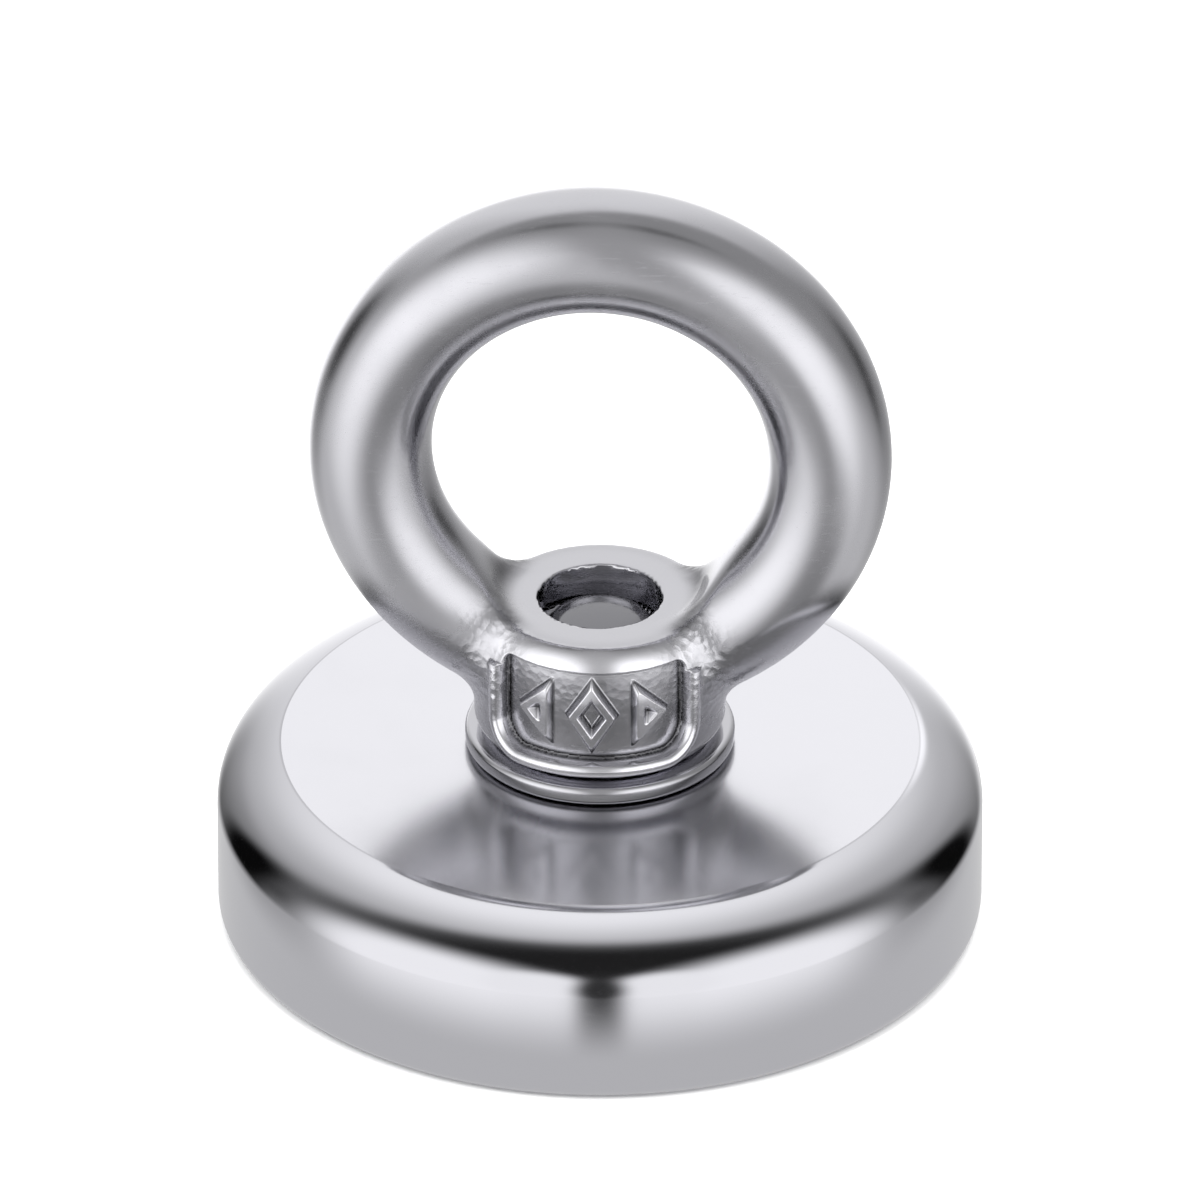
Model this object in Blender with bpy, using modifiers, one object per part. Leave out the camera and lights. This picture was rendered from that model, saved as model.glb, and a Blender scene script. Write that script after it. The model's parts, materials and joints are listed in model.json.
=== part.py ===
"""A 25 mm magnet fishing magnet: a steel pot with a glued ring magnet, and a cast eye nut on an M4 screw.

Metres, +Z up. The origin is the middle of the pot's rim, the face that grips.
The eye nut screws along +Z; its ring stands in the XZ plane.
"""

from math import acos, cos, degrees, pi, radians, sin, tan

import bmesh
import bpy
from mathutils import Matrix

MM = 0.001

# Steel pot, open downwards
POT_RADIUS = 12.5 * MM
POT_HEIGHT = 6.1 * MM
TOP_FLAT_RADIUS = 10.4 * MM
SHOULDER_WIDTH = 2.6 * MM
SHOULDER_RISE = 2.3 * MM
RIM_EDGE_RADIUS = 0.5 * MM
RECESS_RADIUS = 10.6 * MM
RECESS_DEPTH = 4.1 * MM
POT_HOLE_RADIUS = 2.25 * MM

# Ring magnet, bond and potting
MAGNET_RADIUS = 10.0 * MM
MAGNET_FACE_Z = 0.14 * MM
MAGNET_TOP_Z = 3.94 * MM
MAGNET_CHAMFER = 0.2 * MM
BOND_RADIUS = 9.9 * MM
RESIN_FACE_Z = 0.25 * MM
GAP = 0.035 * MM

# M4 x 10 countersunk socket screw
PITCH = 0.7 * MM
SCREW_RADIUS = 1.97 * MM
SCREW_ROOT_RADIUS = 1.58 * MM
SCREW_FACE_Z = 0.95 * MM
SCREW_LENGTH = 10.0 * MM
HEAD_RADIUS = 3.9 * MM
HEAD_LAND = 0.25 * MM
SOCKET_ACROSS_FLATS = 2.5 * MM
SOCKET_DEPTH = 1.5 * MM
THREAD_START_Z = 4.6 * MM
TIP_RADIUS = 1.45 * MM
TIP_RISE = 0.22 * MM
TIP_LENGTH = 0.53 * MM
COUNTERSINK_CLEARANCE = 0.06 * MM

# Nut thread, cut with clearance round the screw's
NUT_MINOR_RADIUS = 1.66 * MM
NUT_MAJOR_RADIUS = 2.03 * MM
FLANK_CLEARANCE = 0.05 * MM
FLANK_SLOPE = tan(radians(30))

# Plain washer
WASHER_RADIUS = 4.4 * MM
WASHER_HOLE_RADIUS = 2.15 * MM
WASHER_THICKNESS = 0.65 * MM
WASHER_EDGE = 0.22 * MM

# Cast eye nut
BOSS_RADIUS = 4.1 * MM
BOSS_TOP_Z = 11.5 * MM
BOSS_TOP_ROUND = 0.7 * MM
BOSS_FOOT_ROUND = 0.45 * MM
RING_CENTRE_Z = 16.95 * MM
RING_RADIUS = 7.45 * MM
RING_HALF_WIDTH = 2.0 * MM
RING_HALF_DEPTH = 2.15 * MM
SPOT_FACE_RADIUS = 2.7 * MM
SPOT_FACE_DEPTH = 0.02 * MM
BORE_CHAMFER = 0.12 * MM
PANEL_HALF_WIDTH = 2.8 * MM
PANEL_LOW_Z = 7.8 * MM
PANEL_HIGH_Z = 10.75 * MM
PANEL_DEPTH = 0.28 * MM

# cutters run this far past the thread's crests, and this far past a face they cut through
CREST_OVERLAP = 0.1 * MM
FACE_OVERLAP = 1.0 * MM

SEGMENTS = 48
THREAD_SEGMENTS = 16
# facets of two shapes that meet are set half a facet apart, so that none of their edges coincide
HALF_FACET_DEG = 180 / SEGMENTS
HALF_THREAD_FACET_DEG = 180 / THREAD_SEGMENTS

WASHER_LOW_Z = POT_HEIGHT + GAP
WASHER_HIGH_Z = WASHER_LOW_Z + WASHER_THICKNESS
NUT_LOW_Z = WASHER_HIGH_Z + GAP
SCREW_TIP_Z = SCREW_FACE_Z + SCREW_LENGTH


def clear_scene():
    for obj in list(bpy.data.objects):
        bpy.data.objects.remove(obj, do_unlink=True)


def new_collection(name):
    collection = bpy.data.collections.new(name)
    bpy.context.scene.collection.children.link(collection)
    return collection


def new_material(name, colour, roughness, metallic):
    material = bpy.data.materials.new(name)
    material.use_nodes = True
    shader = material.node_tree.nodes["Principled BSDF"]
    shader.inputs["Base Color"].default_value = (*colour, 1.0)
    shader.inputs["Roughness"].default_value = roughness
    shader.inputs["Metallic"].default_value = metallic
    return material


def arc(centre, radii, start_deg, end_deg, steps):
    """Points (radius, z) along an elliptical arc, 0 degrees pointing away from the axis."""
    angles = [radians(start_deg + (end_deg - start_deg) * i / steps) for i in range(steps + 1)]
    return [(centre[0] + radii[0] * cos(a), centre[1] + radii[1] * sin(a)) for a in angles]


def turned(name, profile, collection, closed=True, segments=SEGMENTS, start_deg=0.0):
    """A profile of (radius, z) points, listed down its outer side, turned about the Z axis."""
    mesh = bpy.data.meshes.new(name)
    count = len(profile)
    edges = [(i, i + 1) for i in range(count - 1)]
    if closed:
        edges.append((count - 1, 0))
    mesh.from_pydata([(r, 0.0, z) for r, z in profile], edges, [])
    mesh.transform(Matrix.Rotation(radians(start_deg), 4, "Z"))
    obj = bpy.data.objects.new(name, mesh)
    collection.objects.link(obj)
    screw = obj.modifiers.new("Turn", "SCREW")
    screw.axis = "Z"
    screw.steps = segments
    screw.render_steps = segments
    screw.use_merge_vertices = True
    screw.merge_threshold = 1e-6
    screw.use_smooth_shade = True
    return obj


def as_cutter(obj):
    obj.hide_render = True
    obj.display_type = "WIRE"
    return obj


def boolean(obj, cutter, operation):
    modifier = obj.modifiers.new(f"{operation.title()} {cutter.name}", "BOOLEAN")
    modifier.object = cutter
    modifier.operation = operation
    modifier.solver = "EXACT"
    return modifier


def from_bmesh(name, bm, collection):
    bmesh.ops.recalc_face_normals(bm, faces=bm.faces[:])
    mesh = bpy.data.meshes.new(name)
    bm.to_mesh(mesh)
    bm.free()
    obj = bpy.data.objects.new(name, mesh)
    collection.objects.link(obj)
    return obj


def prism(name, sides, radius, low_z, high_z, collection):
    """An upright prism with the given number of sides, such as a hexagon."""
    bm = bmesh.new()
    middle = Matrix.Translation((0.0, 0.0, (low_z + high_z) / 2))
    depth = high_z - low_z
    bmesh.ops.create_cone(
        bm, cap_ends=True, segments=sides, radius1=radius, radius2=radius, depth=depth, matrix=middle
    )
    return from_bmesh(name, bm, collection)


def block(name, low, high, collection):
    bm = bmesh.new()
    size = [b - a for a, b in zip(low, high)]
    middle = [(a + b) / 2 for a, b in zip(low, high)]
    matrix = Matrix.Translation(middle) @ Matrix.Diagonal((*size, 1.0))
    bmesh.ops.create_cube(bm, size=1.0, matrix=matrix)
    return from_bmesh(name, bm, collection)


def helical_groove(name, section, start_z, turns, collection):
    """A closed section of (radius, height) points swept up a right-hand helix of the thread's pitch."""
    bm = bmesh.new()
    points = [bm.verts.new((r, 0.0, start_z + z)) for r, z in section]
    edges = [bm.edges.new((points[i - 1], points[i])) for i in range(len(points))]
    bmesh.ops.spin(
        bm,
        geom=points + edges,
        cent=(0.0, 0.0, 0.0),
        axis=(0.0, 0.0, 1.0),
        dvec=(0.0, 0.0, PITCH / THREAD_SEGMENTS),
        angle=2 * pi * turns,
        steps=THREAD_SEGMENTS * turns,
        use_merge=False,
    )
    bmesh.ops.holes_fill(bm, edges=[e for e in bm.edges if e.is_boundary], sides=len(section))
    return as_cutter(from_bmesh(name, bm, collection))


def ridge_half_width(radius):
    """Half the width of the screw's thread ridge at a radius: 60 degree flanks with a flat crest."""
    return PITCH / 16 + (SCREW_RADIUS - radius) * FLANK_SLOPE


def screw_groove(collection):
    outer, inner = SCREW_RADIUS + CREST_OVERLAP, SCREW_ROOT_RADIUS
    wide = PITCH / 2 - ridge_half_width(outer)
    narrow = PITCH / 2 - ridge_half_width(inner)
    section = [(inner, -narrow), (inner, narrow), (outer, wide), (outer, -wide)]
    turns = int((SCREW_TIP_Z - THREAD_START_Z) / PITCH) + 2
    # half a pitch up from the nut's groove, so that ridges of the one lie in grooves of the other
    return helical_groove("screw_thread_cutter", section, THREAD_START_Z + PITCH / 2, turns, collection)


def nut_groove(collection):
    inner, outer = NUT_MINOR_RADIUS - CREST_OVERLAP, NUT_MAJOR_RADIUS
    wide = ridge_half_width(inner) + FLANK_CLEARANCE
    narrow = ridge_half_width(outer) + FLANK_CLEARANCE
    section = [(inner, -wide), (outer, -narrow), (outer, narrow), (inner, wide)]
    turns_below = int((NUT_LOW_Z - THREAD_START_Z) / PITCH) - 1
    start = THREAD_START_Z + turns_below * PITCH
    turns = int((BOSS_TOP_Z - start) / PITCH) + 2
    return helical_groove("nut_thread_cutter", section, start, turns, collection)


def make_pot(collection):
    centre_radius = POT_RADIUS - SHOULDER_WIDTH
    crease = acos((TOP_FLAT_RADIUS - centre_radius) / SHOULDER_WIDTH)
    shoulder_centre = (centre_radius, POT_HEIGHT - SHOULDER_RISE * sin(crease))
    rim_centre = (POT_RADIUS - RIM_EDGE_RADIUS, RIM_EDGE_RADIUS)
    profile = [(POT_HOLE_RADIUS, POT_HEIGHT)]
    profile += arc(shoulder_centre, (SHOULDER_WIDTH, SHOULDER_RISE), degrees(crease), 0, 6)
    profile += arc(rim_centre, (RIM_EDGE_RADIUS, RIM_EDGE_RADIUS), 0, -90, 3)
    profile += [(RECESS_RADIUS, 0.0), (RECESS_RADIUS, RECESS_DEPTH), (POT_HOLE_RADIUS, RECESS_DEPTH)]
    pot = turned("pot_cup", profile, collection)
    pot.data.materials.append(new_material("nickel_plated_steel", (0.78, 0.78, 0.79), 0.08, 1.0))
    return pot


def make_magnet(collection):
    # the countersink follows the screw head's 45 degree cone at a small distance
    mouth_radius = HEAD_RADIUS + COUNTERSINK_CLEARANCE + SCREW_FACE_Z + HEAD_LAND - MAGNET_FACE_Z
    cone_top_z = MAGNET_FACE_Z + mouth_radius - POT_HOLE_RADIUS
    profile = [
        (POT_HOLE_RADIUS, MAGNET_TOP_Z),
        (MAGNET_RADIUS - MAGNET_CHAMFER, MAGNET_TOP_Z),
        (MAGNET_RADIUS, MAGNET_TOP_Z - MAGNET_CHAMFER),
        (MAGNET_RADIUS, MAGNET_FACE_Z + MAGNET_CHAMFER),
        (MAGNET_RADIUS - MAGNET_CHAMFER, MAGNET_FACE_Z),
        (mouth_radius, MAGNET_FACE_Z),
        (POT_HOLE_RADIUS, cone_top_z),
    ]
    magnet = turned("ring_magnet", profile, collection)
    magnet.data.materials.append(new_material("nickel_plated_magnet", (0.66, 0.66, 0.68), 0.2, 1.0))
    return magnet


def make_bond_film(collection):
    low_z = MAGNET_TOP_Z + GAP * 0.8
    high_z = RECESS_DEPTH - GAP * 0.8
    inner_radius = POT_HOLE_RADIUS + GAP
    profile = [(inner_radius, high_z), (BOND_RADIUS, high_z), (BOND_RADIUS, low_z), (inner_radius, low_z)]
    film = turned("bond_film", profile, collection)
    film.data.materials.append(new_material("cured_adhesive", (0.35, 0.32, 0.27), 0.5, 0.0))
    return film


def make_resin_ring(collection):
    inner_radius, outer_radius = MAGNET_RADIUS + GAP, RECESS_RADIUS - GAP
    high_z = MAGNET_TOP_Z - MAGNET_CHAMFER
    profile = [
        (inner_radius, high_z),
        (outer_radius, high_z),
        (outer_radius, RESIN_FACE_Z),
        (inner_radius, RESIN_FACE_Z),
    ]
    ring = turned("resin_ring", profile, collection)
    ring.data.materials.append(new_material("potting_resin", (0.03, 0.03, 0.035), 0.25, 0.0))
    return ring


def make_screw(collection, cutters):
    land_z = SCREW_FACE_Z + HEAD_LAND
    cone_top_z = land_z + HEAD_RADIUS - SCREW_RADIUS
    dome = arc((0.0, SCREW_TIP_Z - TIP_RISE), (TIP_RADIUS, TIP_RISE), 90, 0, 4)
    profile = [
        (0.0, SCREW_TIP_Z),
        *dome[1:],
        (SCREW_RADIUS, SCREW_TIP_Z - TIP_LENGTH),
        (SCREW_RADIUS, cone_top_z),
        (HEAD_RADIUS, land_z),
        (HEAD_RADIUS, SCREW_FACE_Z),
        (0.0, SCREW_FACE_Z),
    ]
    screw = turned(
        "countersunk_screw",
        profile,
        collection,
        closed=False,
        segments=THREAD_SEGMENTS * 2,
        start_deg=HALF_THREAD_FACET_DEG / 2,
    )
    corner_radius = SOCKET_ACROSS_FLATS / 2 / cos(radians(30))
    socket_low_z = SCREW_FACE_Z - FACE_OVERLAP
    socket_high_z = SCREW_FACE_Z + SOCKET_DEPTH
    socket = as_cutter(prism("socket_cutter", 6, corner_radius, socket_low_z, socket_high_z, cutters))
    boolean(screw, socket, "DIFFERENCE")
    boolean(screw, screw_groove(cutters), "DIFFERENCE")
    screw.data.materials.append(new_material("stainless_screw", (0.6, 0.6, 0.61), 0.25, 1.0))
    return screw


def make_washer(collection):
    edge = WASHER_EDGE
    profile = [(WASHER_HOLE_RADIUS, WASHER_HIGH_Z)]
    profile += arc((WASHER_RADIUS - edge, WASHER_HIGH_Z - edge), (edge, edge), 90, 0, 3)
    profile += arc((WASHER_RADIUS - edge, WASHER_LOW_Z + edge), (edge, edge), 0, -90, 3)
    profile += [(WASHER_HOLE_RADIUS, WASHER_LOW_Z)]
    washer = turned("plain_washer", profile, collection)
    washer.data.materials.append(new_material("stainless_washer", (0.68, 0.68, 0.69), 0.18, 1.0))
    return washer


def ring_blank(name, collection):
    """The ring of the eye, standing in the XZ plane, a little deeper than it is wide."""
    bpy.ops.mesh.primitive_torus_add(
        major_radius=RING_RADIUS, minor_radius=RING_HALF_WIDTH, major_segments=SEGMENTS, minor_segments=16
    )
    ring = bpy.context.object
    ring.name = name
    ring.data.transform(Matrix.Rotation(radians(90), 4, "X"))
    ring.data.transform(Matrix.Diagonal((1.0, RING_HALF_DEPTH / RING_HALF_WIDTH, 1.0, 1.0)))
    ring.data.transform(Matrix.Translation((0.0, 0.0, RING_CENTRE_Z)))
    for old in list(ring.users_collection):
        old.objects.unlink(ring)
    collection.objects.link(ring)
    return as_cutter(ring)


def panel_cutter(collection):
    """Cuts a shallow pocket of even depth into the front of the round boss."""
    low = (-PANEL_HALF_WIDTH, -2 * BOSS_RADIUS, PANEL_LOW_Z)
    high = (PANEL_HALF_WIDTH, 0.0, PANEL_HIGH_Z)
    pocket = as_cutter(block("panel_cutter", low, high, collection))
    floor_radius = BOSS_RADIUS - PANEL_DEPTH
    profile = [(0.0, BOSS_TOP_Z), (floor_radius, BOSS_TOP_Z), (floor_radius, NUT_LOW_Z), (0.0, NUT_LOW_Z)]
    core = as_cutter(turned("panel_floor", profile, collection, closed=False))
    boolean(pocket, core, "DIFFERENCE")
    return pocket


def bore_cutter(collection):
    """The nut's minor bore, flared by a small chamfer at each face."""
    mouth = NUT_MAJOR_RADIUS + BORE_CHAMFER
    depth = mouth - NUT_MINOR_RADIUS
    profile = [
        (0.0, BOSS_TOP_Z + FACE_OVERLAP),
        (mouth + FACE_OVERLAP, BOSS_TOP_Z + FACE_OVERLAP),
        (NUT_MINOR_RADIUS, BOSS_TOP_Z - depth),
        (NUT_MINOR_RADIUS, NUT_LOW_Z + depth),
        (mouth + FACE_OVERLAP, NUT_LOW_Z - FACE_OVERLAP),
        (0.0, NUT_LOW_Z - FACE_OVERLAP),
    ]
    bore = turned(
        "bore_cutter",
        profile,
        collection,
        closed=False,
        segments=THREAD_SEGMENTS,
        start_deg=HALF_THREAD_FACET_DEG,
    )
    return as_cutter(bore)


def spot_face_cutter(collection):
    """Clears the flat round the bore where the ring would stand proud of it."""
    low_z, high_z = BOSS_TOP_Z - SPOT_FACE_DEPTH, BOSS_TOP_Z + FACE_OVERLAP
    profile = [(0.0, high_z), (SPOT_FACE_RADIUS, high_z), (SPOT_FACE_RADIUS, low_z), (0.0, low_z)]
    return as_cutter(turned("spot_face_cutter", profile, collection, closed=False))


def make_eye_nut(collection, cutters):
    top_centre = (BOSS_RADIUS - BOSS_TOP_ROUND, BOSS_TOP_Z - BOSS_TOP_ROUND)
    foot_centre = (BOSS_RADIUS - BOSS_FOOT_ROUND, NUT_LOW_Z + BOSS_FOOT_ROUND)
    profile = [(0.0, BOSS_TOP_Z)]
    profile += arc(top_centre, (BOSS_TOP_ROUND, BOSS_TOP_ROUND), 90, 0, 4)
    profile += arc(foot_centre, (BOSS_FOOT_ROUND, BOSS_FOOT_ROUND), 0, -90, 3)
    profile += [(0.0, NUT_LOW_Z)]
    nut = turned("eye_nut", profile, collection, closed=False, start_deg=HALF_FACET_DEG)
    boolean(nut, ring_blank("eye_ring_blank", cutters), "UNION")
    for make_cutter in (spot_face_cutter, panel_cutter, bore_cutter, nut_groove):
        boolean(nut, make_cutter(cutters), "DIFFERENCE")
    nut.data.materials.append(new_material("cast_stainless", (0.7, 0.7, 0.71), 0.14, 1.0))
    return nut


def main():
    clear_scene()
    parts = new_collection("magnet_fishing_magnet")
    cutters = new_collection("cutters")
    make_pot(parts)
    make_magnet(parts)
    make_bond_film(parts)
    make_resin_ring(parts)
    make_screw(parts, cutters)
    washer = make_washer(parts)
    eye_nut = make_eye_nut(parts, cutters)
    # the washer turns with the nut, and both have their origins on the screw's axis
    eye_nut.parent = washer


if __name__ == "__main__":
    main()
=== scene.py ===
"""Finished look of a 25 mm magnet fishing magnet: pot, ring magnet, screw, washer and cast eye nut.

Laid out as a Blender add-on and run as a script. Metres, +Z up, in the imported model's own frame.
"""

import json
from math import acos, cos, degrees, pi, radians, sin, sqrt, tan

import bmesh
import bpy
import numpy as np
from bpy.props import FloatProperty, FloatVectorProperty, IntProperty, PointerProperty
from mathutils import Matrix, Vector

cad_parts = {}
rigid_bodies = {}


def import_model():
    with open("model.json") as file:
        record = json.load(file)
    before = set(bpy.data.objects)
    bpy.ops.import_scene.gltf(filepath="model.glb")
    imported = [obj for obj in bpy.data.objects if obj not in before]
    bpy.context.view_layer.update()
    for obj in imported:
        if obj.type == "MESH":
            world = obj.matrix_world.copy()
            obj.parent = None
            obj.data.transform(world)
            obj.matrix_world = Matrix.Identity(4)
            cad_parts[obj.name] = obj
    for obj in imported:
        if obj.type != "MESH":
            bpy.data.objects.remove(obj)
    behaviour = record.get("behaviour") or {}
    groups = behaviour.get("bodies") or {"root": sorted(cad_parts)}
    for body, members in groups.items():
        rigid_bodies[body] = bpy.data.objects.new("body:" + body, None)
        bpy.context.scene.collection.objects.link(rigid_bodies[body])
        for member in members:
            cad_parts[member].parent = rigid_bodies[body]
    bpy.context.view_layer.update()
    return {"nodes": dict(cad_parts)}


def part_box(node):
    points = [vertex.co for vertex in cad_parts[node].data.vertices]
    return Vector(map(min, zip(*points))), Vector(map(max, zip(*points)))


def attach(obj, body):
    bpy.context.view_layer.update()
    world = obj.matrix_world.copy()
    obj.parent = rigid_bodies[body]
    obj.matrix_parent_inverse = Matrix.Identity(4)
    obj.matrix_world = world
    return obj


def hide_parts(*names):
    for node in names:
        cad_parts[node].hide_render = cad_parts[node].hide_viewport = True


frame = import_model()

bl_info = {
    "name": "Fishing Magnet",
    "version": (1, 0, 0),
    "blender": (4, 5, 0),
    "location": "3D View > Sidebar > Fishing Magnet",
    "description": "Makes the pieces of a small pot magnet with an eye nut, and a studio round it",
    "category": "Object",
}

MM = 0.001

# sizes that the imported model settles
POT_LOW, POT_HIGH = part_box("pot_cup")
MAGNET_LOW, MAGNET_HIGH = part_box("ring_magnet")
RESIN_LOW, RESIN_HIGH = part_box("resin_ring")
WASHER_LOW, WASHER_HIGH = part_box("plain_washer")
SCREW_LOW, SCREW_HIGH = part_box("countersunk_screw")
NUT_LOW, NUT_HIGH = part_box("eye_nut")

# M4 thread: 60 degree flanks, right-handed, one groove of the nut centred at this height over +X
PITCH = 0.7 * MM
THREAD_START_Z = 4.6 * MM
SCREW_RADIUS = 1.97 * MM
SCREW_ROOT_RADIUS = 1.58 * MM
NUT_MINOR_RADIUS = 1.66 * MM
NUT_MAJOR_RADIUS = 2.03 * MM
FLANK_CLEARANCE = 0.05 * MM
FLANK_SLOPE = tan(radians(30))

# share of the light that the plated and the cast steel give back
METAL_REFLECTANCE = 0.63


# ---------------------------------------------------------------- settings


class PotSettings(bpy.types.PropertyGroup):
    """Turned steel pot"""

    top_flat_radius: FloatProperty(
        name="Top flat radius", description="Where the flat top meets the shoulder",
        default=10.4 * MM, unit="LENGTH"
    )
    shoulder_width: FloatProperty(
        name="Shoulder width", description="Reach of the rounded shoulder inwards",
        default=2.6 * MM, unit="LENGTH"
    )
    shoulder_rise: FloatProperty(
        name="Shoulder rise", description="Reach of the rounded shoulder downwards",
        default=2.3 * MM, unit="LENGTH"
    )
    rim_round: FloatProperty(
        name="Rim round", description="Rounding of the rim's outer edge", default=0.5 * MM, unit="LENGTH"
    )
    recess_radius: FloatProperty(
        name="Recess radius", description="Inner radius of the pot's wall", default=10.6 * MM, unit="LENGTH"
    )
    recess_depth: FloatProperty(
        name="Recess depth", description="Depth of the pot from its rim", default=4.1 * MM, unit="LENGTH"
    )
    hole_radius: FloatProperty(
        name="Hole radius", description="Hole for the screw", default=2.25 * MM, unit="LENGTH"
    )
    top_dullness: FloatProperty(
        name="Top dullness", description="Extra roughness of the turned top", default=0.1, subtype="FACTOR"
    )
    colour: FloatVectorProperty(
        name="Plating", description="Colour of the nickel plating",
        default=(0.632, 0.63, 0.665), subtype="COLOR"
    )


class MagnetSettings(bpy.types.PropertyGroup):
    """Ring magnet and the resin round it"""

    edge_round: FloatProperty(
        name="Edge round", description="Rounding of the magnet's edges", default=0.2 * MM, unit="LENGTH"
    )
    countersink_clearance: FloatProperty(
        name="Countersink clearance", description="Room round the screw head",
        default=0.06 * MM, unit="LENGTH"
    )
    resin_dip: FloatProperty(
        name="Resin dip", description="Depth of the hollow in the resin's face",
        default=0.07 * MM, unit="LENGTH"
    )
    plating: FloatVectorProperty(
        name="Plating", description="Colour of the magnet's plating",
        default=(0.6, 0.6, 0.61), subtype="COLOR"
    )
    resin: FloatVectorProperty(
        name="Resin", description="Colour of the potting resin",
        default=(0.02, 0.02, 0.023), subtype="COLOR"
    )


class ScrewSettings(bpy.types.PropertyGroup):
    """Countersunk socket screw"""

    head_land: FloatProperty(
        name="Head land", description="Straight edge of the head", default=0.25 * MM, unit="LENGTH"
    )
    socket_across_flats: FloatProperty(
        name="Socket", description="Across the flats of the hexagon socket", default=2.5 * MM, unit="LENGTH"
    )
    socket_depth: FloatProperty(
        name="Socket depth", description="Depth of the hexagon socket", default=1.5 * MM, unit="LENGTH"
    )
    dome_radius: FloatProperty(
        name="Dome radius", description="Radius of the screw's domed end", default=1.6 * MM, unit="LENGTH"
    )
    dome_rise: FloatProperty(
        name="Dome rise", description="Height of the screw's domed end", default=0.4 * MM, unit="LENGTH"
    )
    thread_steps: IntProperty(
        name="Thread steps", description="Facets in one turn of the thread", default=40, min=16
    )
    # the screw's steel is set far darker than the other steel as painted shade for its end down in the bore
    colour: FloatVectorProperty(
        name="Steel", description="Colour of the screw's steel",
        default=(0.24, 0.239, 0.255), subtype="COLOR"
    )


class WasherSettings(bpy.types.PropertyGroup):
    """Plain washer under the eye nut"""

    hole_radius: FloatProperty(
        name="Hole radius", description="Radius of the washer's hole", default=2.15 * MM, unit="LENGTH"
    )
    edge_round: FloatProperty(
        name="Edge round", description="Rounding of the washer's outer edges",
        default=0.22 * MM, unit="LENGTH"
    )
    colour: FloatVectorProperty(
        name="Steel", description="Colour of the washer's steel",
        default=(0.6, 0.597, 0.63), subtype="COLOR"
    )


class EyeNutSettings(bpy.types.PropertyGroup):
    """Cast eye nut"""

    boss_radius: FloatProperty(
        name="Boss radius", description="Radius of the boss", default=4.1 * MM, unit="LENGTH"
    )
    boss_top: FloatProperty(
        name="Boss top", description="Height of the boss's flat top", default=11.5 * MM, unit="LENGTH"
    )
    top_flat_radius: FloatProperty(
        name="Top flat radius", description="Where the boss's flat top meets its shoulder",
        default=3.3 * MM, unit="LENGTH"
    )
    shoulder_width: FloatProperty(
        name="Shoulder width", description="Reach of the boss's shoulder inwards",
        default=1.1 * MM, unit="LENGTH"
    )
    shoulder_rise: FloatProperty(
        name="Shoulder rise", description="Reach of the boss's shoulder downwards",
        default=1.9 * MM, unit="LENGTH"
    )
    foot_round: FloatProperty(
        name="Foot round", description="Rounding of the boss's lower edge", default=0.62 * MM, unit="LENGTH"
    )
    ring_half_width: FloatProperty(
        name="Ring half width", description="Half the ring's bar, across the eye",
        default=2.0 * MM, unit="LENGTH"
    )
    ring_half_depth: FloatProperty(
        name="Ring half depth", description="Half the ring's bar, along the eye",
        default=2.15 * MM, unit="LENGTH"
    )
    blend: FloatProperty(
        name="Blend", description="Size of the fillet between ring and boss",
        default=0.75 * MM, unit="LENGTH"
    )
    panel_depth: FloatProperty(
        name="Panel depth", description="Depth of the recessed panel", default=0.36 * MM, unit="LENGTH"
    )
    voxel: FloatProperty(
        name="Surface step", description="Spacing of the surface's points",
        default=0.136 * MM, unit="LENGTH"
    )
    colour: FloatVectorProperty(
        name="Steel", description="Colour of the cast stainless steel",
        default=(0.615, 0.612, 0.645), subtype="COLOR"
    )


class StudioSettings(bpy.types.PropertyGroup):
    """Floor, light tent and camera"""

    azimuth: FloatProperty(
        name="Azimuth", description="Camera's turn towards +X from the front",
        default=radians(4.0), subtype="ANGLE"
    )
    elevation: FloatProperty(
        name="Elevation", description="Camera's height above the horizon",
        default=radians(30.6), subtype="ANGLE"
    )
    distance: FloatProperty(
        name="Distance", description="Camera to the point it looks at", default=0.6, unit="LENGTH"
    )
    target_z: FloatProperty(
        name="Target height", description="Height of the point looked at", default=11.34 * MM, unit="LENGTH"
    )
    frame_width: FloatProperty(
        name="Frame width", description="Width seen at the point looked at",
        default=38.96 * MM, unit="LENGTH"
    )
    tent_radius: FloatProperty(
        name="Tent radius", description="Radius of the light tent", default=0.3, unit="LENGTH"
    )
    floor_colour: FloatVectorProperty(
        name="Floor", description="Colour of the pale floor", default=(0.9, 0.9, 0.9), subtype="COLOR"
    )


# ---------------------------------------------------------------- mesh helpers


def arc(centre, radii, start_deg, end_deg, steps):
    """Points (radius, z) along an elliptical arc, 0 degrees pointing away from the axis."""
    angles = [radians(start_deg + (end_deg - start_deg) * i / steps) for i in range(steps + 1)]
    return [(centre[0] + radii[0] * cos(a), centre[1] + radii[1] * sin(a)) for a in angles]


def filleted(corners, steps=5, closed=True):
    """Points (radius, z) of an outline whose corners (radius, z, fillet) are rounded."""
    points = []
    count = len(corners)
    for i, (r, z, fillet) in enumerate(corners):
        end = not closed and i in (0, count - 1)
        if fillet == 0 or end:
            points.append((r, z))
            continue
        here = Vector((r, z))
        before = (Vector(corners[i - 1][:2]) - here).normalized()
        after = (Vector(corners[(i + 1) % count][:2]) - here).normalized()
        half = before.angle(after) / 2
        inward = (before + after).normalized()
        middle = here + inward * fillet / sin(half)
        side = Vector((-inward.y, inward.x))
        side = side if side.dot(before) > 0 else -side
        reach = pi / 2 - half
        for k in range(steps + 1):
            turn = reach * (1 - 2 * k / steps)
            points.append(tuple(middle + fillet * (side * sin(turn) - inward * cos(turn))))
    return points


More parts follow.
